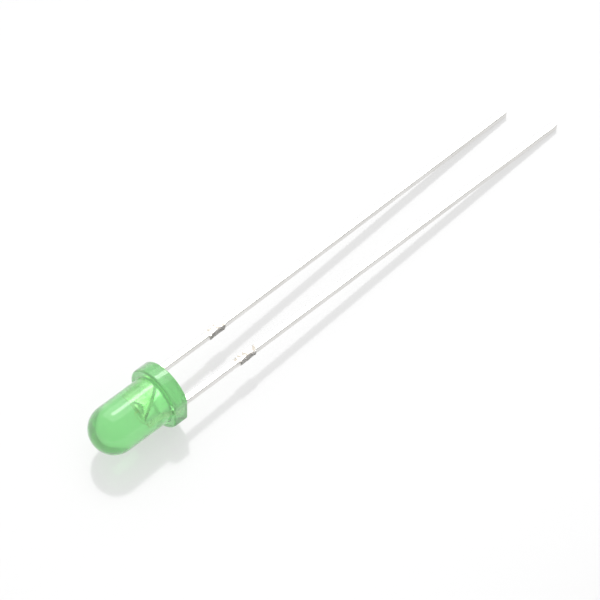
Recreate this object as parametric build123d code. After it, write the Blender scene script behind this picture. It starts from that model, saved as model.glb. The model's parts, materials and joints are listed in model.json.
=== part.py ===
from build123d import *
import os
from math import atan2, degrees, radians, sqrt, tan

# Round 3 mm indicator lamp with two wire leads, lying loose on a bench.
# Every piece is drawn upright first: Z runs up through the dome, the origin is the
# centre of the flange's back face, X crosses the two leads and Y is the strip's thickness.
# The whole lamp is then laid down on its flange rim and both lead tips. All sizes are in mm.

# Cast epoxy body
lens_diameter = 3.0
flange_diameter = 3.9
flange_thickness = 0.95
body_height = 5.5
flat_offset = 1.78  # from the lamp's axis to the flat on the flange
flange_edge_radius = 0.12
flange_back_edge_radius = 0.05
lens_root_radius = 0.10

# Stamped leads, as they leave the body
strip_thickness = 0.40
lead_width = 0.38
lead_edge_radius = 0.05
lead_pitch = 2.54
short_lead_length = 29.0
long_lead_length = 30.5
lead_bend_distance = 3.4  # the leads leave the seating plane square, and splay from here
short_lead_splay = 0.70  # degrees outwards, on the side away from the flat
long_lead_splay = -0.21  # degrees outwards, on the side of the flat, so a little inwards
tip_chamfer = 0.06

# What is left of the tie bar that held the leads together in the strip
tie_bar_distance = 4.4  # from the seating plane to the bar
tie_bar_width = 1.2
tie_bar_stub = 0.08  # how far the sheared stub stands proud of the lead
tie_bar_shear_slope = 0.03  # how far the sheared face leans over its height

# Lead ends inside the epoxy
blade_foot_height = 0.20  # where the rounded wire gives way to the square blade
lead_straight_inside = 0.40  # straight entry before the ends step inwards
entry_step_height = 0.32
inner_half_span = 1.22  # outer edges of both ends, clear of the lens wall
neck_half_span = 0.95  # the same edges from the necks up
crotch_height = 0.58  # where the split between the two ends starts
crotch_position = 0.30  # on the short lead's side of the axis
end_gap = 0.16  # between the two ends
anvil_shoulder_height = 1.08  # where the outer edge starts to step in
anvil_neck_height = 1.34
anvil_tip_position = 0.74  # outer end of the front edge, which the blade tapers to
anvil_height = 2.45
head_diameter = 0.86
head_rim_height = 0.12
head_flare = 0.34  # from the round head down to where it has shrunk to the strip
post_shoulder_height = 1.08
post_neck_height = 1.34
post_height = 2.48
post_head_width = 0.22

# Reflector cup coined into the anvil, and the light source in it
cup_diameter = 0.68
cup_floor_diameter = 0.44
cup_depth = 0.28
chip_size = 0.26
chip_height = 0.20
glue_thickness = 0.02
glue_rise = 0.05  # the fillet of glue round the foot of the chip
contact_diameter = 0.12
contact_thickness = 0.02

# Bond wire from the chip to the post
wire_diameter = 0.03
wire_ball_diameter = 0.08
wire_ball_height = 0.04
wire_rise = 0.30
wire_bend_radius = 0.10
stitch_length = 0.12
stitch_width = 0.07
stitch_thickness = 0.02

# Values worked out from the sizes above
lens_radius = lens_diameter / 2
flange_radius = flange_diameter / 2
lead_half_width = lead_width / 2
lead_position = lead_pitch / 2
entry_top = lead_straight_inside + entry_step_height
split_end = post_head_width - neck_half_span + end_gap / 2  # X of the split's middle at the post's end
end_slope = (split_end - crotch_position) / (post_height - crotch_height)
cup_floor_height = anvil_height - cup_depth
chip_foot = cup_floor_height + glue_thickness
chip_top = chip_foot + chip_height
contact_top = chip_top + contact_thickness
stitch_position = post_head_width / 2 - neck_half_span


def strip_piece(outline):
    """A flat piece stamped from the strip, from its outline as (x, z) points."""
    face = make_face(Polyline(*outline, close=True))
    return extrude(Plane.XZ * face, strip_thickness / 2, both=True)


def lead_centre(distance, splay):
    """How far from the lamp's axis a lead runs, at a distance below the seating plane."""
    return lead_position + max(0, distance - lead_bend_distance) * tan(radians(splay))


def lead_run(length, splay, side):
    """The wire of one lead, rounded along its edges and eased at its tip."""
    tip_centre = lead_centre(length, splay)
    corners = [
        (side * (lead_position - lead_half_width), lead_straight_inside),
        (side * (lead_position + lead_half_width), lead_straight_inside),
        (side * (lead_position + lead_half_width), -lead_bend_distance),
        (side * (tip_centre + lead_half_width), -length),
        (side * (tip_centre - lead_half_width), -length),
        (side * (lead_position - lead_half_width), -lead_bend_distance),
    ]
    run = strip_piece(corners)
    run = chamfer(run.faces().sort_by(Axis.Z)[0].edges(), tip_chamfer)
    long_edges = [edge for edge in run.edges() if edge.length > 2 * strip_thickness]
    return fillet(long_edges, lead_edge_radius)


def tie_bar_stubs(splay, side):
    """The sheared ends of the tie bar on both edges of a lead, leaning a little."""
    middle = tie_bar_distance + tie_bar_width / 2
    centre = lead_centre(middle, splay)
    low_reach = lead_half_width + tie_bar_stub
    high_reach = low_reach - tie_bar_shear_slope
    section = make_face(Polyline(
        (-low_reach, -strip_thickness / 2),
        (high_reach, -strip_thickness / 2),
        (low_reach, strip_thickness / 2),
        (-high_reach, strip_thickness / 2),
        close=True,
    ))
    bar = extrude(section, tie_bar_width / 2, both=True)
    return Pos(side * centre, 0, -middle) * Rot(0, -side * splay, 0) * bar


def split_edge(height, offset):
    """X of the slanted split between the two lead ends, at a height and sideways offset."""
    return crotch_position + end_slope * (height - crotch_height) + offset


def anvil_end():
    """The broad blade of the short lead, with the round head and coined cup in its front edge."""
    outer = lead_position + lead_half_width
    inner = lead_position - lead_half_width
    blade = strip_piece([
        (inner, blade_foot_height),
        (outer, blade_foot_height),
        (outer, lead_straight_inside),
        (inner_half_span, entry_top),
        (inner_half_span, anvil_shoulder_height),
        (neck_half_span, anvil_neck_height),
        (anvil_tip_position, anvil_height),
        (split_edge(anvil_height, end_gap / 2), anvil_height),
        (split_edge(crotch_height, end_gap / 2), crotch_height),
        (inner, lead_straight_inside),
    ])
    flare_top = anvil_height - head_rim_height
    head_profile = make_face(Polyline(
        (0, flare_top - head_flare),
        (strip_thickness / 2, flare_top - head_flare),
        (head_diameter / 2, flare_top),
        (head_diameter / 2, anvil_height),
        (0, anvil_height),
        close=True,
    ))
    head = revolve(Plane.XZ * head_profile, Axis.Z)
    cup_profile = make_face(Polyline(
        (0, cup_floor_height),
        (cup_floor_diameter / 2, cup_floor_height),
        (cup_diameter / 2, anvil_height),
        (0, anvil_height),
        close=True,
    ))
    cup = revolve(Plane.XZ * cup_profile, Axis.Z)
    return blade + head - cup


def post_end():
    """The slimmer end of the long lead, which the bond wire lands on."""
    outer = lead_position + lead_half_width
    inner = lead_position - lead_half_width
    return strip_piece([
        (-inner, blade_foot_height),
        (-outer, blade_foot_height),
        (-outer, lead_straight_inside),
        (-inner_half_span, entry_top),
        (-inner_half_span, post_shoulder_height),
        (-neck_half_span, post_neck_height),
        (-neck_half_span, post_height),
        (split_edge(post_height, -end_gap / 2), post_height),
        (split_edge(crotch_height, -end_gap / 2), crotch_height),
        (-inner, lead_straight_inside),
    ])


def chip():
    """The square light-emitting chip, standing in the cup."""
    block = Box(chip_size, chip_size, chip_height, align=(Align.CENTER, Align.CENTER, Align.MIN))
    return Pos(0, 0, chip_foot) * block


def chip_contact():
    """The round metal contact on top of the chip."""
    disc = Cylinder(contact_diameter / 2, contact_thickness, align=(Align.CENTER, Align.CENTER, Align.MIN))
    return Pos(0, 0, chip_top) * disc


def die_glue():
    """Conductive glue under the chip, with a low fillet round its foot."""
    puddle = Cone(
        cup_floor_diameter / 2, chip_size / sqrt(2) + glue_thickness, glue_rise,
        align=(Align.CENTER, Align.CENTER, Align.MIN),
    )
    return Pos(0, 0, cup_floor_height) * puddle - chip()


def bond_wire():
    """Fine wire: a ball on the chip's contact, a loop, and a stitch on the post."""
    ball = Pos(0, 0, contact_top) * Cylinder(
        wire_ball_diameter / 2, wire_ball_height, align=(Align.CENTER, Align.CENTER, Align.MIN)
    )
    stitch = Pos(stitch_position, 0, post_height) * Box(
        stitch_length, stitch_width, stitch_thickness, align=(Align.CENTER, Align.CENTER, Align.MIN)
    )
    start = contact_top + wire_ball_height / 2
    top = contact_top + wire_rise
    landing = post_height + wire_diameter / 2
    path = FilletPolyline(
        (0, 0, start),
        (0, 0, top),
        (stitch_position / 2, 0, top),
        (stitch_position, 0, landing),
        radius=wire_bend_radius,
    )
    wire = sweep(Plane(origin=(0, 0, start), z_dir=(0, 0, 1)) * Circle(wire_diameter / 2), path)
    return ball + wire + stitch


def epoxy_outside():
    """The cast body: domed barrel on a flange, with the flat that marks one side."""
    barrel_top = body_height - lens_radius
    outline = Polyline(
        (0, body_height),
        (0, 0),
        (flange_radius, 0),
        (flange_radius, flange_thickness),
        (lens_radius, flange_thickness),
        (lens_radius, barrel_top),
    )
    dome = CenterArc((0, barrel_top), lens_radius, 0, 90)
    profile = make_face(outline + dome)
    corners = profile.vertices()
    root = corners.sort_by_distance((lens_radius, flange_thickness))[0]
    profile = fillet(root, lens_root_radius)
    rim = profile.vertices().sort_by_distance((flange_radius, flange_thickness))[0]
    profile = fillet(rim, flange_edge_radius)
    back = profile.vertices().sort_by_distance((flange_radius, 0))[0]
    profile = fillet(back, flange_back_edge_radius)
    body = revolve(Plane.XZ * profile, Axis.Z)
    beyond_flat = Pos(-flat_offset, 0, 0) * Box(
        flange_radius, flange_diameter, 2 * body_height, align=(Align.MAX, Align.CENTER, Align.CENTER)
    )
    return body - beyond_flat


def laid_down():
    """The place of the upright lamp once it rests on its flange rim and both lead tips."""
    short_tip = lead_centre(short_lead_length, short_lead_splay)
    long_tip = lead_centre(long_lead_length, long_lead_splay)
    extra_length = long_lead_length - short_lead_length
    length_on_axis = short_lead_length + extra_length * short_tip / (short_tip + long_tip)
    tilt = atan2(flange_radius - strip_thickness / 2, length_on_axis)
    roll = atan2(extra_length * tan(tilt), short_tip + long_tip)
    lying = Plane(origin=(0, 0, 0), x_dir=(0, 1, 0), z_dir=(-1, 0, 0)).location
    return Rot(0, degrees(tilt), 0) * lying * Rot(0, 0, degrees(roll))


def build_upright():
    """All pieces in the upright frame, by node name."""
    short_run = lead_run(short_lead_length, short_lead_splay, 1)
    long_run = lead_run(long_lead_length, long_lead_splay, -1)
    pieces = {
        "anvil_lead": short_run + tie_bar_stubs(short_lead_splay, 1) + anvil_end(),
        "post_lead": long_run + tie_bar_stubs(long_lead_splay, -1) + post_end(),
        "led_chip": chip(),
        "chip_contact": chip_contact(),
        "die_glue": die_glue(),
        "bond_wire": bond_wire(),
    }
    body = epoxy_outside()
    for inner_piece in pieces.values():
        body = body - inner_piece
    pieces["epoxy_body"] = body
    return pieces


def resting_place(pieces):
    """The lying place, moved so that the footprint's centre on the bench is the origin."""
    lying = laid_down()
    box = Compound(children=[lying * piece for piece in pieces.values()]).bounding_box()
    return Pos(-box.center().X, -box.center().Y, -box.min.Z) * lying


upright = build_upright()
place = resting_place(upright)
os.makedirs("parts", exist_ok=True)
for node, piece in upright.items():
    export_step(place * piece, f"parts/{node}.step")
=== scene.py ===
"""Looks of a green 3 mm indicator lamp that lies on a glossy white table.

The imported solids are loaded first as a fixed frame, and every piece here is placed from them.
Pieces are shaped in millimetres in the lamp's upright frame, where Z runs up through the dome,
X crosses the two leads and Y is the strip's thickness, and are then laid down in metres.
"""
import json
import logging
from abc import ABC, abstractmethod
from dataclasses import dataclass
from enum import Enum
from math import cos, pi, radians, sin, tan
from typing import Any

import bmesh
import bpy
from bpy.types import Material, Mesh, Node, NodeSocket, NodeTree, Object
from mathutils import Matrix, Vector, noise


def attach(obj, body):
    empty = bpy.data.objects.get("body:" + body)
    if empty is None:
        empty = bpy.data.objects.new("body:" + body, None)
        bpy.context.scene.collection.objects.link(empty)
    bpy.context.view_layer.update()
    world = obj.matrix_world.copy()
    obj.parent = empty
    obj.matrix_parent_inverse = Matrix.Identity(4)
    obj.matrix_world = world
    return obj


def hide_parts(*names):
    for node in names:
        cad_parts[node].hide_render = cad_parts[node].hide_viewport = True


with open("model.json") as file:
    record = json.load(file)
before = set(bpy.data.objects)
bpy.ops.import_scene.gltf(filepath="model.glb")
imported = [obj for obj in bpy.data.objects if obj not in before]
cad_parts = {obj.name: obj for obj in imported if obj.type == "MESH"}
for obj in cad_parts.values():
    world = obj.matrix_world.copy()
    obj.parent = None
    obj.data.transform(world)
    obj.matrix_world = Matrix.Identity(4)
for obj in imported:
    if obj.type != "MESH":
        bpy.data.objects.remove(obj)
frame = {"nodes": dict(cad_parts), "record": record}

LOG = logging.getLogger("lamp")
MM = 0.001
BODY = "root"
STRIP_THICKNESS = 0.40
LEAD_POSITION = 1.27  # from the lamp's axis to the middle of each lead, in mm
WHITE = (1.0, 1.0, 1.0, 1.0)
NOISE_LOW, NOISE_HIGH = 0.3, 0.7  # nearly all values of a noise texture lie between these


class Slot(Enum):
    """The record's material slots."""

    EPOXY = "green_epoxy"
    TIN = "tinned_lead"
    CRYSTAL = "chip_crystal"
    GOLD = "gold"
    GLUE = "silver_glue"


class LeadPart(Enum):
    """The parts of a lead that have a finish of their own, by material index."""

    WIRE = 0
    BLADE = 1
    SHEARED = 2
    # the rounded edges, painted greyer as painted shade
    EDGE = 3


def linear(hex_colour: str) -> tuple[float, float, float, float]:
    """Turns an sRGB colour into the linear values that shaders take.

    Args:
        hex_colour: Six hex digits, such as "D8D6D0".

    Returns:
        Linear red, green, blue and an alpha of 1.
    """
    channels = [int(hex_colour[i:i + 2], 16) / 255 for i in (0, 2, 4)]
    return (*[c / 12.92 if c <= 0.04045 else ((c + 0.055) / 1.055) ** 2.4 for c in channels], 1.0)


def set_inputs(node: Node, inputs: dict[Any, Any]) -> None:
    """Sets or links inputs of a node.

    Args:
        node: The node.
        inputs: By each input's name or number, a value, an output socket, a quantity, or a node
            whose first output is meant.
    """
    for key, value in inputs.items():
        if isinstance(value, Node):
            value = value.outputs[0]
        elif isinstance(value, Quantity):
            value = value.socket
        if isinstance(value, NodeSocket):
            node.id_data.links.new(value, node.inputs[key])
        else:
            node.inputs[key].default_value = value


def add_node(tree: NodeTree, kind: str, inputs: dict[Any, Any] | None = None, **settings: Any) -> Node:
    """Adds a node with its settings, and sets or links its inputs.

    Args:
        tree: The node tree that gets the node.
        kind: The node's type name.
        inputs: What set_inputs takes.
        **settings: The node's own properties.

    Returns:
        The new node.
    """
    node = tree.nodes.new(kind)
    for name, value in settings.items():
        setattr(node, name, value)
    set_inputs(node, inputs or {})
    return node


def grain_position(tree: NodeTree, grain_mm: tuple[float, float, float]) -> Node:
    """Gives object coordinates counted in grains of a pattern.

    Args:
        tree: The material's node tree.
        grain_mm: The pattern's size along X, Y and Z.

    Returns:
        The node that gives the coordinates.
    """
    here = add_node(tree, "ShaderNodeTexCoord").outputs["Object"]
    grains = tuple(1 / (size * MM) for size in grain_mm)
    return add_node(tree, "ShaderNodeMapping", {"Vector": here, "Scale": grains})


def two_tone(tree: NodeTree, pattern: Any, tones: dict[float, str]) -> Node:
    """Turns a pattern into a colour between two others.

    Args:
        tree: The material's node tree.
        pattern: The pattern's node or socket.
        tones: The hex colour at each of two of the pattern's values, the lower one first.

    Returns:
        The node that gives the colour.
    """
    ramp = add_node(tree, "ShaderNodeValToRGB", {"Fac": pattern})
    for stop, (value, hex_colour) in zip(ramp.color_ramp.elements, tones.items()):
        stop.position, stop.color = value, linear(hex_colour)
    return ramp


class Quantity:
    """A value in a node tree that is reckoned with as a number is."""

    def __init__(self, socket: NodeSocket) -> None:
        """Keeps the output socket that gives the value."""
        self.socket = socket

    def reckon(self, operation: str, *others: "float | Quantity") -> "Quantity":
        """Works out one step.

        Args:
            operation: What the step does, such as "MAXIMUM".
            *others: What it takes beside this value.

        Returns:
            The step's result.
        """
        inputs = dict(enumerate((self, *others)))
        step = add_node(self.socket.id_data, "ShaderNodeMath", inputs, operation=operation)
        return Quantity(step.outputs["Value"])

    def __add__(self, other: "float | Quantity") -> "Quantity":
        """Adds another value."""
        return self.reckon("ADD", other)

    def __sub__(self, other: "float | Quantity") -> "Quantity":
        """Takes another value away."""
        return self.reckon("SUBTRACT", other)

    def __mul__(self, other: "float | Quantity") -> "Quantity":
        """Multiplies by another value."""
        return self.reckon("MULTIPLY", other)

    def __truediv__(self, other: "float | Quantity") -> "Quantity":
        """Divides by another value."""
        return self.reckon("DIVIDE", other)

    def __abs__(self) -> "Quantity":
        """Drops the sign."""
        return self.reckon("ABSOLUTE")


@dataclass(frozen=True)
class LampPlace:
    """Where the upright lamp lies.

    Attributes:
        lay_down: Turns upright millimetres into the row frame's metres.
    """

    lay_down: Matrix

    @classmethod
    def from_record(cls, record: dict[str, Any]) -> "LampPlace":
        """Works the place out from the mounts on the seating plane and the lead tips.

        Args:
            record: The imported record.

        Returns:
            The lamp's place.
        """
        mounts = {mount["name"]: mount for mount in record["mounts"]}
        seat = Vector(mounts["seat_face"]["pos_m"])
        up = -Vector(mounts["seat_face"]["axis"]).normalized()
        across = Vector(mounts["short_lead_tip"]["pos_m"]) - Vector(mounts["long_lead_tip"]["pos_m"])
        across = (across - across.project(up)).normalized()
        turn = Matrix((across, up.cross(across), up)).transposed().to_4x4()
        return cls(Matrix.Translation(seat) @ turn @ Matrix.Scale(MM, 4))


class Finish(ABC):
    """A real finish, which builds its own material."""

    title: str

    @abstractmethod
    def shade(self, surface: Node, output: Node) -> None:
        """Adds the finish's own nodes round the surface shader.

        Args:
            surface: The material's Principled shader.
            output: The material's output.
        """

    def material(self) -> Material:
        """Builds the material.

        Returns:
            The material, with its surface shader and the finish's own nodes.
        """
        material = bpy.data.materials.new(self.title)
        material.use_nodes = True
        material.node_tree.nodes.clear()
        surface = add_node(material.node_tree, "ShaderNodeBsdfPrincipled")
        output = add_node(material.node_tree, "ShaderNodeOutputMaterial", {"Surface": surface})
        self.shade(surface, output)
        return material


@dataclass(frozen=True)
class CastEpoxy(Finish):
    """Green dyed epoxy, faintly milky: deeper in colour where it is thick, soft inside, shiny outside.

    The skin that the polished cup leaves is a clear gloss over a body that blurs what lies deep in it.
    """

    title: str = "cast_green_epoxy"
    tint_hex: str = "AAF0AA"
    dye_hex: str = "7CF67C"
    dye_per_mm: float = 0.20
    clearness: float = 0.74
    refraction: float = 1.53
    smoothest: float = 0.10
    dullest: float = 0.16
    rim_softness: float = 0.15
    rim_start: float = 0.35
    rim_end: float = 0.75
    skin_gloss: float = 0.04
    wave_mm: float = 0.7
    wave_height_mm: float = 0.0005

    def shade(self, surface: Node, output: Node) -> None:
        """Makes the surface clear, softens it towards its rim and puts the dye in the volume.

        Args:
            surface: The material's Principled shader.
            output: The material's output.
        """
        tree = surface.id_data
        waves = add_node(tree, "ShaderNodeTexNoise", {
            "Vector": grain_position(tree, (self.wave_mm,) * 3), "Scale": 1.0, "Detail": 1.0,
        })
        gloss = add_node(tree, "ShaderNodeMapRange", {
            "Value": waves, "From Min": NOISE_LOW, "From Max": NOISE_HIGH,
            "To Min": self.smoothest, "To Max": self.dullest,
        })
        facing = add_node(tree, "ShaderNodeLayerWeight", {"Blend": 0.5}).outputs["Facing"]
        softer = add_node(tree, "ShaderNodeMapRange", {
            "Value": facing, "From Min": self.rim_start, "From Max": self.rim_end,
            "To Min": 0.0, "To Max": self.rim_softness,
        })
        set_inputs(surface, {
            "Base Color": linear(self.tint_hex),
            "Transmission Weight": self.clearness,
            "IOR": self.refraction,
            "Coat Weight": 1.0,
            "Coat Roughness": self.skin_gloss,
            "Roughness": add_node(tree, "ShaderNodeMath", {0: gloss, 1: softer}, operation="ADD"),
            "Normal": add_node(tree, "ShaderNodeBump", {
                "Height": waves, "Distance": self.wave_height_mm * MM,
            }),
        })
        set_inputs(output, {"Volume": add_node(tree, "ShaderNodeVolumeAbsorption", {
            "Color": linear(self.dye_hex), "Density": self.dye_per_mm / MM,
        })})


@dataclass(frozen=True)
class Stain:
    """A patch of another look on a metal, within an ellipsoid and broken up by a grain.

    Attributes:
        colour_hex: The patch's colour.
        roughness: The patch's roughness.
        half_size_mm: Its reach along the row's X, Y and Z.
        grain_mm: The size of the grain that breaks it up.
        cover: The grain's values that leave the metal clean and that cover it.
        spots: The middles of the patches, in the row frame's metres.
        fade: Where the ellipsoid starts and ends to fade, as shares of its reach.
    """

    colour_hex: str
    roughness: float
    half_size_mm: tuple[float, float, float]
    grain_mm: float
    cover: tuple[float, float]
    spots: tuple[tuple[float, float, float], ...]
    fade: tuple[float, float] = (0.8, 1.1)

    def lay_over(self, tree: NodeTree, colour: Any, gloss: Any) -> tuple[NodeSocket, NodeSocket]:
        """Lays the patches over a metal.

        Args:
            tree: The material's node tree.
            colour: The metal's colour.
            gloss: The metal's roughness.

        Returns:
            The colour and the roughness with the patches in them.
        """
        here = add_node(tree, "ShaderNodeTexCoord").outputs["Object"]
        grain = add_node(tree, "ShaderNodeTexNoise", {
            "Vector": grain_position(tree, (self.grain_mm,) * 3), "Scale": 1.0, "Detail": 3.0,
        })
        broken = add_node(tree, "ShaderNodeMapRange", {
            "Value": grain, "From Min": self.cover[0], "From Max": self.cover[1],
        })
        shrink = tuple(1 / (size * MM) for size in self.half_size_mm)
        for spot in self.spots:
            offset = add_node(tree, "ShaderNodeVectorMath", {0: here, 1: spot}, operation="SUBTRACT")
            scaled = add_node(tree, "ShaderNodeVectorMath", {0: offset, 1: shrink}, operation="MULTIPLY")
            away = add_node(tree, "ShaderNodeVectorMath", {0: scaled}, operation="LENGTH")
            near = add_node(tree, "ShaderNodeMapRange", {
                "Value": away.outputs["Value"], "From Min": self.fade[0], "From Max": self.fade[1],
                "To Min": 1.0, "To Max": 0.0,
            })
            share = add_node(tree, "ShaderNodeMath", {0: near, 1: broken}, operation="MULTIPLY")
            tinted = add_node(tree, "ShaderNodeMix", {
                0: share, 6: colour, 7: linear(self.colour_hex),
            }, data_type="RGBA")
            dulled = add_node(tree, "ShaderNodeMix", {0: share, 2: gloss, 3: self.roughness})
            colour, gloss = tinted.outputs[2], dulled.outputs[0]
        return colour, gloss


@dataclass(frozen=True)
class WornMetal(Finish):
    """A metal whose colour, gloss and height follow one grain; each real metal sets its own values."""

    title: str
    light_hex: str
    dark_hex: str
    smoothest: float
    dullest: float
    grain_mm: tuple[float, float, float]
    relief_mm: float
    detail: float = 2.0
    dark_at: float = 0.35
    light_at: float = 0.62
    stains: tuple[Stain, ...] = ()

    def shade(self, surface: Node, output: Node) -> None:
        """Lets one noise drive the metal's tint, gloss and relief, and lays the stains over it.

        Args:
            surface: The material's Principled shader.
            output: The material's output; not used.
        """
        tree = surface.id_data
        grain = add_node(tree, "ShaderNodeTexNoise", {
            "Vector": grain_position(tree, self.grain_mm), "Scale": 1.0, "Detail": self.detail,
        })
        colour = two_tone(tree, grain, {self.dark_at: self.dark_hex, self.light_at: self.light_hex})
        gloss = add_node(tree, "ShaderNodeMapRange", {
            "Value": grain, "From Min": NOISE_LOW, "From Max": NOISE_HIGH,
            "To Min": self.dullest, "To Max": self.smoothest,
        })
        for stain in self.stains:
            colour, gloss = stain.lay_over(tree, colour, gloss)
        set_inputs(surface, {
            "Metallic": 1.0,
            "Base Color": colour,
            "Roughness": gloss,
            "Normal": add_node(tree, "ShaderNodeBump", {"Height": grain, "Distance": self.relief_mm * MM}),
        })


@dataclass(frozen=True)
class BrightTin(WornMetal):
    """Bright tin dipped over drawn strip: nearly a mirror, with faint streaks along the wire.

    Beside the sheared tie bar the top face turns a duller warm grey, and the tin is torn to the steel at the
    edge.
    """

    title: str = "bright_tin"
    light_hex: str = "FAF9F7"
    dark_hex: str = "E9E7E3"
    smoothest: float = 0.10
    dullest: float = 0.20
    grain_mm: tuple[float, float, float] = (1.6, 0.05, 0.05)  # real streaks are finer and wouldn't show
    relief_mm: float = 0.0006


@dataclass(frozen=True)
class EdgeShadeTin(WornMetal):
    """Tin on the strip's rounded edges, painted greyer as painted shade for the darker surroundings that
    they mirror: a fine line along both sides of a lead.
    """

    title: str = "tin_edge_painted_shade"
    light_hex: str = "DEDDDA"
    dark_hex: str = "BEBDBA"
    smoothest: float = 0.18
    dullest: float = 0.34
    grain_mm: tuple[float, float, float] = (0.9, 0.05, 0.05)  # as coarse as the streaks of the faces
    relief_mm: float = 0.0006


@dataclass(frozen=True)
class CoinedSilver(WornMetal):
    """Silver flash on coined steel: bright but soft, so it glows evenly under the epoxy."""

    title: str = "coined_silver_flash"
    light_hex: str = "FFFCEC"
    dark_hex: str = "FAF2D8"
    smoothest: float = 0.22
    dullest: float = 0.34
    grain_mm: tuple[float, float, float] = (0.30, 0.12, 0.12)
    relief_mm: float = 0.0010


@dataclass(frozen=True)
class ShearedSteel(WornMetal):
    """Bare steel where the tie bar was sheared off: torn, dark and mottled, with no tin left."""

    title: str = "sheared_steel"
    light_hex: str = "C8C6C2"
    dark_hex: str = "7C7A76"
    smoothest: float = 0.38
    dullest: float = 0.62
    grain_mm: tuple[float, float, float] = (0.10, 0.08, 0.06)  # a real tear is finer, and would look plain
    relief_mm: float = 0.006
    detail: float = 3.0


@dataclass(frozen=True)
class FineGold(WornMetal):
    """Drawn fine gold: a warm, soft shine with next to no grain."""

    title: str = "fine_gold"
    light_hex: str = "FFD98A"
    dark_hex: str = "EDBE5E"
    smoothest: float = 0.18
    dullest: float = 0.30
    grain_mm: tuple[float, float, float] = (0.02, 0.02, 0.02)  # coarser than real, so that it shows
    relief_mm: float = 0.0003


@dataclass(frozen=True)
class SawnCrystal(Finish):
    """Sawn gallium phosphide: a dull amber crystal with fine saw lines round its sides."""

    title: str = "sawn_gallium_phosphide"
    light_hex: str = "C9B45C"
    dark_hex: str = "8F7A32"
    roughness: float = 0.45
    refraction: float = 3.2
    saw_line_mm: float = 0.015  # coarser than real, so that the lines show
    line_scale: float = 0.3
    line_waver: float = 1.5
    relief_mm: float = 0.001

    def shade(self, surface: Node, output: Node) -> None:
        """Draws the saw lines in tint and relief.

        Args:
            surface: The material's Principled shader.
            output: The material's output; not used.
        """
        tree = surface.id_data
        lines = add_node(tree, "ShaderNodeTexWave", {
            "Vector": grain_position(tree, (self.saw_line_mm,) * 3),
            "Scale": self.line_scale, "Distortion": self.line_waver,
        }).outputs["Fac"]
        set_inputs(surface, {
            "Roughness": self.roughness,
            "IOR": self.refraction,
            "Base Color": two_tone(tree, lines, {0.0: self.dark_hex, 1.0: self.light_hex}),
            "Normal": add_node(tree, "ShaderNodeBump", {"Height": lines, "Distance": self.relief_mm * MM}),
        })


@dataclass(frozen=True)
class FlakeGlue(Finish):
    """Silver flakes in cured adhesive: grey, grainy and only faintly shiny."""

    title: str = "silver_flake_adhesive"
    light_hex: str = "D2D0CB"
    dark_hex: str = "9C9A95"
    metal_share: float = 0.5
    smoothest: float = 0.35
    dullest: float = 0.65
    flake_mm: float = 0.02  # coarser than real, so that the flakes show
    flake_edge: float = 0.8  # the pattern's value between two flakes
    relief_mm: float = 0.002

    def shade(self, surface: Node, output: Node) -> None:
        """Breaks the surface up into flakes of unlike tint and gloss.

        Args:
            surface: The material's Principled shader.
            output: The material's output; not used.
        """
        tree = surface.id_data
        flakes = add_node(tree, "ShaderNodeTexVoronoi", {
            "Vector": grain_position(tree, (self.flake_mm,) * 3), "Scale": 1.0,
        })
        set_inputs(surface, {
            "Metallic": self.metal_share,
            "Base Color": two_tone(tree, flakes, {0.0: self.light_hex, 1.0: self.dark_hex}),
            "Roughness": add_node(tree, "ShaderNodeMapRange", {
                "Value": flakes, "From Max": self.flake_edge,
                "To Min": self.smoothest, "To Max": self.dullest,
            }),
            "Normal": add_node(tree, "ShaderNodeBump", {"Height": flakes, "Distance": self.relief_mm * MM}),
        })


@dataclass(frozen=True)
class LitAcrylic(Finish):
    """Polished opal acrylic, lit from within as a light table: an even white with a faint mirror image.

    Attributes:
        shaded_hex: The colour of its shadow-taking part.
        glow: What the sheet itself gives the eye, the mirrors and the glass.
    """

    title: str = "opal_acrylic"
    sheet_hex: str = "F0F0EF"
    shaded_hex: str = "868686"
    glow: float = 0.565
    through_glass: float = 1.0
    gloss: float = 0.12
    refraction: float = 1.49

    def shade(self, surface: Node, output: Node) -> None:
        """Gives direct looks the glowing sheet, and plain white to the light that it throws back.

        Args:
            surface: The material's Principled shader.
            output: The material's output.
        """
        set_inputs(surface, {
            "Base Color": linear(self.shaded_hex),
            "Roughness": self.gloss,
            "IOR": self.refraction,
            "Emission Color": WHITE,
            "Emission Strength": self.glow,
        })
        tree = surface.id_data
        plain = add_node(tree, "ShaderNodeBsdfDiffuse", {"Color": linear(self.sheet_hex)})
        white = add_node(tree, "ShaderNodeEmission", {"Strength": self.through_glass})
        path = add_node(tree, "ShaderNodeLightPath").outputs
        seen = add_node(tree, "ShaderNodeMath", {
            0: path["Is Camera Ray"], 1: path["Is Glossy Ray"],
        }, operation="MAXIMUM")
        sheet = add_node(tree, "ShaderNodeMixShader", {0: seen, 1: plain, 2: surface})
        looks = add_node(tree, "ShaderNodeMixShader", {0: path["Is Transmission Ray"], 1: sheet, 2: white})
        set_inputs(output, {"Surface": looks})


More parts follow.
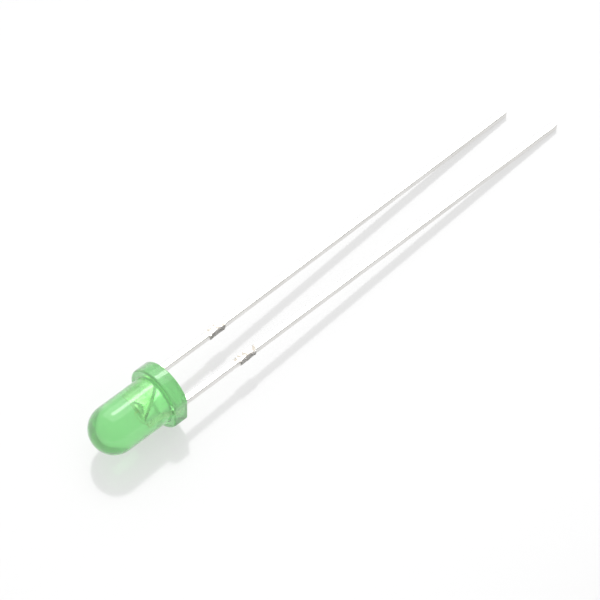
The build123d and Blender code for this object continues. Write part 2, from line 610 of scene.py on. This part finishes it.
class NodeShape:
    """A shape that a Geometry Nodes tree makes from named sizes."""

    def __init__(self, name: str) -> None:
        """Starts the tree with its geometry output.

        Args:
            name: The name of the tree and of the mesh that it makes.
        """
        self.name = name
        self.tree = bpy.data.node_groups.new(name, "GeometryNodeTree")
        self.tree.interface.new_socket("Geometry", in_out="OUTPUT", socket_type="NodeSocketGeometry")
        self.source = self.node("NodeGroupInput")
        self.values: dict[str, float | int] = {}

    def node(self, kind: str, inputs: dict[Any, Any] | None = None, **settings: Any) -> Node:
        """Adds a node to the tree, as add_node does."""
        return add_node(self.tree, kind, inputs, **settings)

    def size(self, name: str, value: float | int) -> Quantity:
        """Adds a named input with its value.

        Args:
            name: What the size is.
            value: Its value; whole numbers make a whole-number input.

        Returns:
            The size inside the tree.
        """
        kind = "NodeSocketInt" if isinstance(value, int) else "NodeSocketFloat"
        self.tree.interface.new_socket(name, in_out="INPUT", socket_type=kind)
        self.values[name] = value
        return Quantity(self.source.outputs[name])

    def pick(self, kind: str, values: list[Any]) -> Node:
        """Gives each point the value that stands at its own number in a list.

        Args:
            kind: The values' data type, such as "FLOAT".
            values: The values, nodes or quantities.

        Returns:
            The node that gives the picked value.
        """
        number = self.node("GeometryNodeInputIndex")
        switch = self.node("GeometryNodeIndexSwitch", {"Index": number}, data_type=kind)
        while len(switch.index_switch_items) < len(values):
            switch.index_switch_items.new()
        set_inputs(switch, dict(enumerate(values, start=1)))
        return switch

    def rounded_line(self, corners: list[tuple[Any, Any]], radii: list[Any], steps: list[Any]) -> Node:
        """Draws a line through corners and rounds each one.

        Args:
            corners: X and Z of each corner.
            radii: The rounding radius at each corner.
            steps: How many points each rounding gets.

        Returns:
            The node that gives the curve.
        """
        places = [self.node("ShaderNodeCombineXYZ", {"X": x, "Z": z}) for x, z in corners]
        line = self.node("GeometryNodeMeshLine", {"Count": len(corners)})
        bent = self.node("GeometryNodeSetPosition", {
            "Geometry": line, "Position": self.pick("VECTOR", places),
        })
        outline = self.node("GeometryNodeMeshToCurve", {"Mesh": bent})
        return self.node("GeometryNodeFilletCurve", {
            "Curve": outline, "Radius": self.pick("FLOAT", radii), "Count": self.pick("INT", steps),
        }, mode="POLY")

    def finished(self, geometry: Node, material: Material) -> Mesh:
        """Ends the tree and makes a plain mesh with it.

        Args:
            geometry: The node that gives the finished shape.
            material: The finish of the whole shape.

        Returns:
            The plain mesh.
        """
        real = self.node("GeometryNodeRealizeInstances", {"Geometry": geometry})
        dressed = self.node("GeometryNodeSetMaterial", {"Geometry": real, "Material": material})
        self.node("NodeGroupOutput", {"Geometry": dressed})
        holder = bpy.data.objects.new(self.name, bpy.data.meshes.new(self.name))
        modifier = holder.modifiers.new(self.name, "NODES")
        modifier.node_group = self.tree
        for item in self.tree.interface.items_tree:
            if item.in_out == "INPUT":
                modifier[item.identifier] = self.values[item.name]
        return plain_mesh(holder)


def plain_mesh(holder: Object) -> Mesh:
    """Turns an object with modifiers into a plain mesh and removes the object.

    Args:
        holder: The object, not yet in the scene.

    Returns:
        The mesh that its modifiers make.
    """
    bpy.context.scene.collection.objects.link(holder)
    bpy.context.view_layer.update()
    depsgraph = bpy.context.evaluated_depsgraph_get()
    mesh = bpy.data.meshes.new_from_object(holder.evaluated_get(depsgraph), depsgraph=depsgraph)
    mesh.name = holder.name
    holder.modifiers.clear()
    bpy.data.objects.remove(holder)
    return mesh


def show(mesh: Mesh, place: LampPlace, node: str) -> None:
    """Lays an upright mesh down, shows it and puts it in the solid's stead.

    Args:
        mesh: The piece in upright millimetres.
        place: Where the lamp lies.
        node: The solid that the piece replaces.
    """
    mesh.transform(place.lay_down)
    mesh.update()
    piece = bpy.data.objects.new(mesh.name, mesh)
    bpy.context.scene.collection.objects.link(piece)
    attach(piece, BODY)
    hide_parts(node)
    LOG.info("%s: %d faces in place of %s", mesh.name, len(mesh.polygons), node)


@dataclass
class CastBody:
    """The cast body: domed barrel on a flange, with the flat and the menisci round the leads.

    Sizes are in millimetres. The dome, barrel and flange are the solid's own. The back face is
    as cast in an open mould: a shallow dish that creeps out along each lead.
    """

    lens_radius: float = 1.5
    flange_radius: float = 1.95
    flange_thickness: float = 0.95
    body_height: float = 5.5
    flat_offset: float = 1.78
    rim_radius: float = 0.12
    back_edge_radius: float = 0.05
    root_radius: float = 0.10
    flat_corner: float = 0.03
    least_facing: float = 0.01  # keeps the flat off the far side of the flange
    dish_depth: float = 0.03
    creep_height: float = 0.08
    creep_reach: float = 0.06
    back_level: float = 1e-5  # what lies lower is the back face
    back_share: float = 0.96  # of the flange's radius, inside its rounded edge
    turns: int = 360
    dome_steps: int = 56
    edge_steps: int = 8
    back_rings: int = 56
    weld: float = 1e-4
    sharp_angle: float = 20.0

    def __post_init__(self) -> None:
        """Starts the node tree with the two sizes that most of it needs."""
        self.shape = NodeShape("cast_body")
        self.barrel = self.shape.size("Barrel radius", self.lens_radius)
        self.flange = self.shape.size("Flange radius", self.flange_radius)

    def build(self, place: LampPlace, epoxy: Material) -> None:
        """Turns the section round the lamp's axis, with flat and back face, and shows the body.

        Args:
            place: Where the lamp lies.
            epoxy: The body's material.
        """
        section = self.section()
        counts = self.shape.node("GeometryNodeAttributeDomainSize", {"Geometry": section}, component="CURVE")
        count = Quantity(counts.outputs["Point Count"])
        grid = self.shape.node("GeometryNodeMeshGrid", {
            "Size X": 1.0,
            "Size Y": 1.0,
            "Vertices X": self.shape.size("Turns", self.turns) + 1.0,
            "Vertices Y": count,
        })
        here = self.shape.node("GeometryNodeInputPosition")
        across, along, _ = map(Quantity, self.shape.node("ShaderNodeSeparateXYZ", {"Vector": here}).outputs)
        angle = (across + 0.5) * (2 * pi)
        step = ((along + 0.5) * (count - 1.0)).reckon("ROUND")
        sample = self.shape.node("GeometryNodeSampleIndex", {
            "Geometry": section, "Value": here, "Index": step,
        }, data_type="FLOAT_VECTOR", domain="POINT")
        radius, _, height = map(
            Quantity, self.shape.node("ShaderNodeSeparateXYZ", {"Vector": sample}).outputs
        )
        kept = self.flattened(radius, angle)
        x, y = kept * angle.reckon("COSINE"), kept * angle.reckon("SINE")
        z = height + self.back_relief(x, y, radius, height)
        turned = self.shape.node("GeometryNodeSetPosition", {
            "Geometry": grid, "Position": self.shape.node("ShaderNodeCombineXYZ", {"X": x, "Y": y, "Z": z}),
        })
        show(self.shape.finished(self.closed(turned), epoxy), place, "epoxy_body")

    def section(self) -> Node:
        """Draws half of the body's section, from the back's centre to the dome's top.

        Returns:
            The node that gives the curve, with radius as X and height as Z.
        """
        thickness = self.shape.size("Flange thickness", self.flange_thickness)
        height = self.shape.size("Body height", self.body_height)
        back_edge = self.shape.size("Back edge radius", self.back_edge_radius)
        rim = self.shape.size("Rim radius", self.rim_radius)
        root = self.shape.size("Root radius", self.root_radius)
        edge_steps = self.shape.size("Edge steps", self.edge_steps)
        dome_steps = self.shape.size("Dome steps", self.dome_steps)
        rounded = self.shape.rounded_line(
            corners=[
                (0.0, 0.0),
                (self.flange, 0.0),
                (self.flange, thickness),
                (self.barrel, thickness),
                (self.barrel, height),
                (0.0, height),
            ],
            radii=[0.0, back_edge, rim, root, self.barrel, 0.0],
            steps=[1, edge_steps, edge_steps, edge_steps, dome_steps, 1],
        )
        rings = self.shape.size("Back rings", self.back_rings)
        return self.shape.node("GeometryNodeSubdivideCurve", {
            "Curve": rounded, "Cuts": self.shape.pick("INT", [rings, 0]),
        })

    def flattened(self, radius: Quantity, angle: Quantity) -> Quantity:
        """Draws the flange in to the flat, which lies on the side of negative X.

        Args:
            radius: The round section's radius.
            angle: The angle round the lamp's axis.

        Returns:
            The radius with the flat in it.
        """
        flat = self.shape.size("Flat offset", self.flat_offset)
        corner = self.shape.size("Flat corner", self.flat_corner)
        facing = (angle.reckon("COSINE") * -1.0).reckon("MAXIMUM", self.least_facing)
        allowed = (flat / facing).reckon("SMOOTH_MIN", self.flange, corner)
        beyond = (radius - self.barrel).reckon("MAXIMUM", 0.0)
        share = (allowed - self.barrel) / (self.flange - self.barrel)
        return radius.reckon("MINIMUM", self.barrel) + beyond * share

    def back_relief(self, x: Quantity, y: Quantity, radius: Quantity, height: Quantity) -> Quantity:
        """Dishes the back face and lets it creep out along both leads.

        Args:
            x: Each point's X.
            y: Each point's Y.
            radius: The round section's radius.
            height: The section's height.

        Returns:
            What is added to the height, which is nothing off the back face.
        """
        dish = self.shape.size("Dish depth", self.dish_depth)
        creep = self.shape.size("Creep height", self.creep_height)
        reach = self.shape.size("Creep reach", self.creep_reach)
        lead_at = self.shape.size("Lead position", LEAD_POSITION)
        lead_half = self.shape.size("Lead half thickness", STRIP_THICKNESS / 2)
        beside = (abs(abs(x) - lead_at) - lead_half).reckon("MAXIMUM", 0.0)
        above = (abs(y) - lead_half).reckon("MAXIMUM", 0.0)
        away = (beside * beside + above * above).reckon("SQRT")
        outwards = radius / self.flange
        hollow = dish * (outwards * outwards * -1.0 + 1.0)
        relief = hollow - creep * (away / reach * -1.0).reckon("EXPONENT")
        on_back = height.reckon("LESS_THAN", self.back_level)
        inside_edge = outwards.reckon("LESS_THAN", self.back_share)
        return relief * on_back * inside_edge

    def closed(self, sheet: Node) -> Node:
        """Closes the seam and both poles, and shades all but the crisp edges smooth.

        Args:
            sheet: The node that gives the turned sheet.

        Returns:
            The node that gives the closed body.
        """
        closed = self.shape.node("GeometryNodeMergeByDistance", {"Geometry": sheet, "Distance": self.weld})
        smooth = self.shape.node("GeometryNodeSetShadeSmooth", {"Geometry": closed}, domain="FACE")
        angle = Quantity(self.shape.node("GeometryNodeInputMeshEdgeAngle").outputs["Unsigned Angle"])
        sharp = self.shape.size("Sharp angle", radians(self.sharp_angle))
        return self.shape.node("GeometryNodeSetShadeSmooth", {
            "Geometry": smooth, "Selection": angle.reckon("GREATER_THAN", sharp), "Shade Smooth": False,
        }, domain="EDGE")


@dataclass
class BondWire:
    """The fine wire with its ball on the chip, its loop and its stitch on the post, in millimetres."""

    foot_height: float = 2.41
    rise: float = 0.30
    post_height: float = 2.48
    stitch_position: float = -0.84
    wire_diameter: float = 0.03
    bend_radius: float = 0.10
    ball_diameter: float = 0.08
    ball_height: float = 0.04
    stitch_length: float = 0.12
    stitch_width: float = 0.07
    stitch_thickness: float = 0.02
    bend_steps: int = 8
    wire_sides: int = 16
    ball_sides: int = 24
    ball_rings: int = 12
    stitch_rings: int = 8

    def __post_init__(self) -> None:
        """Starts the node tree with the sizes that the wire and its two ends share."""
        self.shape = NodeShape("bond_wire_loop")
        self.foot = self.shape.size("Foot height", self.foot_height)
        self.landing = self.shape.size("Post height", self.post_height)
        self.reach = self.shape.size("Stitch position", self.stitch_position)

    def build(self, place: LampPlace, gold: Material) -> None:
        """Joins the wire, its ball and its stitch, which the tool leaves thin at its rim, and shows them.

        Args:
            place: Where the lamp lies.
            gold: The wire's material.
        """
        ball = (self.ball_diameter, self.ball_diameter, self.ball_height)
        stitch = (self.stitch_length, self.stitch_width, self.stitch_thickness)
        joined = self.shape.node("GeometryNodeJoinGeometry")
        for piece in (
            self.loop(),
            self.pressed(ball, self.ball_rings, 0.0, self.foot),
            self.pressed(stitch, self.stitch_rings, self.reach, self.landing),
        ):
            set_inputs(joined, {"Geometry": piece})
        smooth = self.shape.node("GeometryNodeSetShadeSmooth", {"Geometry": joined}, domain="FACE")
        show(self.shape.finished(smooth, gold), place, "bond_wire")

    def loop(self) -> Node:
        """Sweeps the wire up from the ball, over, and down to the post.

        Returns:
            The node that gives the wire.
        """
        wire_radius = self.shape.size("Wire diameter", self.wire_diameter) * 0.5
        top = self.foot + self.shape.size("Rise", self.rise)
        bend = self.shape.size("Bend radius", self.bend_radius)
        path = self.shape.rounded_line(
            corners=[
                (0.0, self.foot + self.ball_height / 2),
                (0.0, top),
                (self.reach * 0.5, top),
                (self.reach, self.landing + wire_radius),
            ],
            radii=[0.0, bend, bend, 0.0],
            steps=[1, self.bend_steps, self.bend_steps, 1],
        )
        circle = self.shape.node("GeometryNodeCurvePrimitiveCircle", {
            "Resolution": self.shape.size("Wire sides", self.wire_sides), "Radius": wire_radius,
        })
        return self.shape.node("GeometryNodeCurveToMesh", {
            "Curve": path, "Profile Curve": circle, "Fill Caps": True,
        })

    def pressed(self, size: tuple[float, float, float], rings: int, x: Any, foot: Quantity) -> Node:
        """Presses a ball flat.

        Args:
            size: The pressed ball's size along X, Y and Z.
            rings: How many rings its mesh has.
            x: X of its middle.
            foot: The height that it stands on.

        Returns:
            The node that gives the pressed ball.
        """
        half = tuple(value / 2 for value in size)
        ball = self.shape.node("GeometryNodeMeshUVSphere", {
            "Segments": self.ball_sides, "Rings": rings, "Radius": 1.0,
        })
        middle = self.shape.node("ShaderNodeCombineXYZ", {"X": x, "Z": foot + half[2]})
        return self.shape.node("GeometryNodeTransform", {
            "Geometry": ball, "Translation": middle, "Scale": half,
        })


@dataclass
class StampedLead:
    """One lead, from the solid's own form: wire outside, blade in the epoxy, sheared tie bar between.

    Sizes are in millimetres.

    Attributes:
        node: The solid that the lead replaces.
        side: 1 for the lead on the side of positive X, and -1 for the other.
        stub_middle: X of the lead's middle at the tie bar, measured on the solid.
    """

    node: str
    side: int
    half_width: float = 0.19
    blade_foot: float = 0.20
    stub_start: float = 4.4
    stub_width: float = 1.2
    stub_margin: float = 0.02
    stub_middle: float = LEAD_POSITION
    sheared_beyond: float = 0.205  # how far from the lead's middle the sheared faces lie
    sheared_facing: float = 0.4  # share of a sheared face's normal along X
    tip_depth: float = 0.05
    tip_facing: float = 0.9
    edge_break: float = 0.012
    edge_angle: float = 50.0
    longest_plain_edge: float = 0.14
    tear_cuts: int = 13
    tear_depth: float = 0.035
    tear_grain: float = 0.16
    tear_level: float = 0.55
    fine_grain: float = 2.3  # how much finer the tear's second grain is
    fine_share: float = 0.5
    weld: float = 0.0004
    coplanar_angle: float = 0.4
    flat_enough: float = 0.985  # share of a flat face's normal along one axis
    crease_angle: float = 34.0

    def build(self, place: LampPlace, metals: dict[LeadPart, Material]) -> None:
        """Shows the lead in place of its solid.

        Args:
            place: Where the lamp lies.
            metals: The material of each part.
        """
        shape = bmesh.new()
        shape.from_mesh(frame["nodes"][self.node].data)
        shape.transform(place.lay_down.inverted())
        bmesh.ops.remove_doubles(shape, verts=shape.verts, dist=self.weld)
        bmesh.ops.dissolve_limit(
            shape, angle_limit=radians(self.coplanar_angle), verts=shape.verts, edges=shape.edges
        )
        sides = [vert.co.x for vert in shape.verts if self.beside_stub(vert.co.z)]
        self.stub_middle = (min(sides) + max(sides)) / 2
        self.break_edges(shape)
        self.tear_stubs(shape)
        self.dress(shape)
        mesh = bpy.data.meshes.new(f"{self.node}_dressed")
        shape.to_mesh(mesh)
        shape.free()
        for part in LeadPart:
            mesh.materials.append(metals[part])
        mesh.set_sharp_from_angle(angle=radians(self.crease_angle))
        holder = bpy.data.objects.new(mesh.name, mesh)
        flattening = holder.modifiers.new("flat_faces_stay_flat", "WEIGHTED_NORMAL")
        flattening.keep_sharp = True
        flattening.weight = 100
        show(plain_mesh(holder), place, self.node)

    def break_edges(self, shape: bmesh.types.BMesh) -> None:
        """Takes the sharpness off the blade's long edges, as stamping and plating leave them.

        Args:
            shape: The upright lead.
        """
        sharp = [
            edge for edge in shape.edges
            if len(edge.link_faces) == 2
            and edge.calc_face_angle() > radians(self.edge_angle)
            and edge.calc_length() > self.longest_plain_edge
            and min(vert.co.z for vert in edge.verts) > self.blade_foot
        ]
        bmesh.ops.bevel(
            shape, geom=sharp, offset=self.edge_break, segments=2, profile=0.5, affect="EDGES",
            clamp_overlap=True,
        )

    def beside_stub(self, height: float) -> bool:
        """Tells whether a height is one where the tie bar was."""
        return -self.stub_margin - self.stub_width < height + self.stub_start < self.stub_margin

    def is_sheared(self, face: bmesh.types.BMFace) -> bool:
        """Tells whether a face is one of the torn faces of the tie bar.

        Args:
            face: A face of the upright lead.

        Returns:
            True for the outer faces of both stubs.
        """
        middle = face.calc_center_median()
        beyond = abs(middle.x - self.stub_middle) > self.sheared_beyond
        return self.beside_stub(middle.z) and beyond and abs(face.normal.x) > self.sheared_facing

    def tear_stubs(self, shape: bmesh.types.BMesh) -> None:
        """Breaks the sheared faces up and tears them, with lips and pits of the metal's grain.

        Args:
            shape: The upright lead.
        """
        edges = {edge for face in shape.faces if self.is_sheared(face) for edge in face.edges}
        bmesh.ops.subdivide_edges(shape, edges=list(edges), cuts=self.tear_cuts, use_grid_fill=True)
        shape.normal_update()
        for vert in {vert for face in shape.faces if self.is_sheared(face) for vert in face.verts}:
            where = vert.co / self.tear_grain
            grain = noise.noise(where) + self.fine_share * noise.noise(where * self.fine_grain)
            outwards = 1 if vert.co.x > self.stub_middle else -1
            vert.co.x -= outwards * self.tear_depth * min(1.0, max(0.0, self.tear_level + grain))

    def dress(self, shape: bmesh.types.BMesh) -> None:
        """Gives every face the finish of the part that it belongs to.

        Args:
            shape: The upright lead.
        """
        shape.normal_update()
        lowest = min(vert.co.z for vert in shape.verts)
        for face in shape.faces:
            height = face.calc_center_median().z
            at_tip = height < lowest + self.tip_depth and face.normal.z < -self.tip_facing
            if self.is_sheared(face) or at_tip:
                face.material_index = LeadPart.SHEARED.value
            elif height > 0:
                face.material_index = LeadPart.BLADE.value
            elif max(abs(value) for value in face.normal) < self.flat_enough:
                # the wire's rounded edges get painted shade: a greyer tin
                face.material_index = LeadPart.EDGE.value
            face.smooth = True

    def spot_at_stub(self, place: LampPlace, sideways: float) -> tuple[float, float, float]:
        """Finds a spot on the lead's top face, level with the middle of the tie bar.

        Args:
            place: Where the lamp lies.
            sideways: How far the spot lies from the lead's middle, along X.

        Returns:
            The spot in the row frame's metres.
        """
        along = -self.stub_start - self.stub_width / 2
        return tuple(place.lay_down @ Vector((
            self.side * LEAD_POSITION + sideways, -STRIP_THICKNESS / 2, along
        )))


@dataclass
class PhotoView:
    """The camera, at the photograph's viewing angle."""

    azimuth: float = 43.456  # of the line of sight, from +Y towards +X, in degrees
    elevation: float = 55.114
    roll: float = -0.214
    distance_mm: float = 245.57
    target_mm: tuple[float, float, float] = (-1.748, 0.187, 0.0)
    field_of_view: float = 8.129
    sensor_mm: float = 36.0
    nearest_m: float = 0.01
    farthest_m: float = 20.0

    def forward(self) -> Vector:
        """Gives the line of sight."""
        turn, rise = radians(self.azimuth), radians(self.elevation)
        return Vector((sin(turn) * cos(rise), cos(turn) * cos(rise), -sin(rise)))

    def right_and_up(self) -> tuple[Vector, Vector]:
        """Gives the picture's two directions, with the roll in them.

        Returns:
            The directions to the right and up.
        """
        turn, roll = radians(self.azimuth), radians(self.roll)
        level = Vector((cos(turn), -sin(turn), 0.0))
        upright = level.cross(self.forward())
        return level * cos(roll) + upright * sin(roll), upright * cos(roll) - level * sin(roll)

    def build(self) -> None:
        """Makes the camera and hands it to the scene."""
        data = bpy.data.cameras.new("photo_camera")
        data.sensor_width = self.sensor_mm
        data.lens = self.sensor_mm / 2 / tan(radians(self.field_of_view) / 2)
        data.clip_start, data.clip_end = self.nearest_m, self.farthest_m
        camera = bpy.data.objects.new("photo_camera", data)
        right, up = self.right_and_up()
        forward = self.forward()
        place = Matrix((right, up, -forward)).transposed().to_4x4()
        place.translation = Vector(self.target_mm) * MM - forward * self.distance_mm * MM
        camera.matrix_world = place
        bpy.context.scene.collection.objects.link(camera)
        bpy.context.scene.camera = camera


@dataclass(frozen=True)
class SoftLamp:
    """A lamp that hangs where the table and the leads' top faces mirror it to the camera.

    Attributes:
        name: What the lamp is called.
        across_angles: From where to where it reaches across the leads, in degrees seen from the object.
        along_angles: The same along the leads.
        radiance: Its brightness, where 1 is white.
        distance_m: How far off it hangs.
    """

    name: str
    across_angles: tuple[float, float]
    along_angles: tuple[float, float]
    radiance: float
    distance_m: float = 2.0

    def hang(self, view: PhotoView) -> None:
        """Makes the lamp and hangs it.

        Args:
            view: The camera's view.
        """
        sight = view.forward()
        mirrored = Vector((sight.x, sight.y, -sight.z))
        along = (Vector((1, 0, 0)) - mirrored * mirrored.x).normalized()
        across = mirrored.cross(along)
        reach_across = [tan(radians(angle)) * self.distance_m for angle in self.across_angles]
        reach_along = [tan(radians(angle)) * self.distance_m for angle in self.along_angles]
        width, height = reach_along[1] - reach_along[0], reach_across[1] - reach_across[0]
        data = bpy.data.lights.new(self.name, "AREA")
        data.shape = "RECTANGLE"
        data.size, data.size_y = width, height
        data.energy = self.radiance * width * height * pi
        box = bpy.data.objects.new(self.name, data)
        place = Matrix((along, across, mirrored)).transposed().to_4x4()
        place.translation = (
            mirrored * self.distance_m + along * sum(reach_along) / 2 + across * sum(reach_across) / 2
        )
        box.matrix_world = place
        bpy.context.scene.collection.objects.link(box)


@dataclass
class Studio:
    """The table, the even light all round, and two lamps that the table mirrors to the camera.

    The softbox is small, so that the shine on the barrel is a thin line. The panel round it is
    broad and weak, and lights the lead frame evenly.
    """

    table_size_m: float = 4.0
    surround_strength: float = 0.80
    lamps: tuple[SoftLamp, ...] = (
        SoftLamp("softbox", across_angles=(-7.2, 7.6), along_angles=(-8.5, 11.0), radiance=4.2),
        SoftLamp("overhead_panel", across_angles=(-32.0, 32.0), along_angles=(-32.0, 32.0), radiance=0.7),
    )

    def build(self, view: PhotoView) -> None:
        """Sets the whole studio up.

        Args:
            view: The camera's view.
        """
        self.build_table()
        self.build_surround()
        for lamp in self.lamps:
            lamp.hang(view)

    def build_table(self) -> None:
        """Makes the table top, level with the lamp's lowest point."""
        half = self.table_size_m / 2
        mesh = bpy.data.meshes.new("table_top")
        corners = [(-half, -half, 0), (half, -half, 0), (half, half, 0), (-half, half, 0)]
        mesh.from_pydata(corners, [], [(0, 1, 2, 3)])
        sheet = LitAcrylic().material()
        sheet.cycles.emission_sampling = "NONE"
        mesh.materials.append(sheet)
        table = bpy.data.objects.new("table_top", mesh)
        bpy.context.scene.collection.objects.link(table)

    def build_surround(self) -> None:
        """Makes the even white light that comes from all sides."""
        world = bpy.data.worlds.new("white_tent")
        world.use_nodes = True
        world.node_tree.nodes.clear()
        light = add_node(world.node_tree, "ShaderNodeBackground", {
            "Color": WHITE, "Strength": self.surround_strength,
        })
        add_node(world.node_tree, "ShaderNodeOutputWorld", {"Surface": light})
        bpy.context.scene.world = world


def stub_stains(place: LampPlace, leads: list[StampedLead]) -> tuple[Stain, ...]:
    """Finds where each lead's top face turns a duller warm grey and where its tin is torn off, beside the
    tie bar.

    Args:
        place: Where the lamp lies.
        leads: Both leads.

    Returns:
        The warm grey patches and the tears of both leads.
    """
    past_edge = 0.05  # how far past the lead's edge the middle of its tear lies
    # a duller, warm grey patch on each lead's top face round the tie bar
    warm_grey_patches = Stain(
        colour_hex="BBB5AC", roughness=0.50, half_size_mm=(1.05, 0.40, 0.25), grain_mm=0.30,
        cover=(0.42, 0.62), spots=tuple(lead.spot_at_stub(place, 0.0) for lead in leads),
    )
    tears = Stain(
        colour_hex="7C7A77", roughness=0.45, half_size_mm=(0.62, 0.11, 0.30), grain_mm=0.07,
        cover=(0.30, 0.42),
        spots=tuple(lead.spot_at_stub(place, -lead.half_width - past_edge) for lead in leads),
    )
    return warm_grey_patches, tears


def main() -> None:
    """Builds the scene, piece by piece, and reports each one."""
    logging.basicConfig(level=logging.INFO, format="%(name)s: %(message)s")
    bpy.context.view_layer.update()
    place = LampPlace.from_record(frame["record"])
    view = PhotoView()
    view.build()
    Studio().build(view)
    CastBody().build(place, CastEpoxy().material())
    leads = [StampedLead("anvil_lead", 1), StampedLead("post_lead", -1)]
    metals = {
        LeadPart.WIRE: BrightTin(stains=stub_stains(place, leads)).material(),
        LeadPart.BLADE: CoinedSilver().material(),
        LeadPart.SHEARED: ShearedSteel().material(),
        # the edges' greyer tin is painted shade
        LeadPart.EDGE: EdgeShadeTin().material(),
    }
    for lead in leads:
        lead.build(place, metals)
    gold = FineGold().material()
    BondWire().build(place, gold)
    crystal, glue = SawnCrystal().material(), FlakeGlue().material()
    for name, material in {"led_chip": crystal, "chip_contact": gold, "die_glue": glue}.items():
        frame["nodes"][name].data.materials.clear()
        frame["nodes"][name].data.materials.append(material)
        LOG.info("%s: dressed", name)
    bpy.context.scene.view_settings.view_transform = "Standard"


if __name__ == "__main__":
    main()
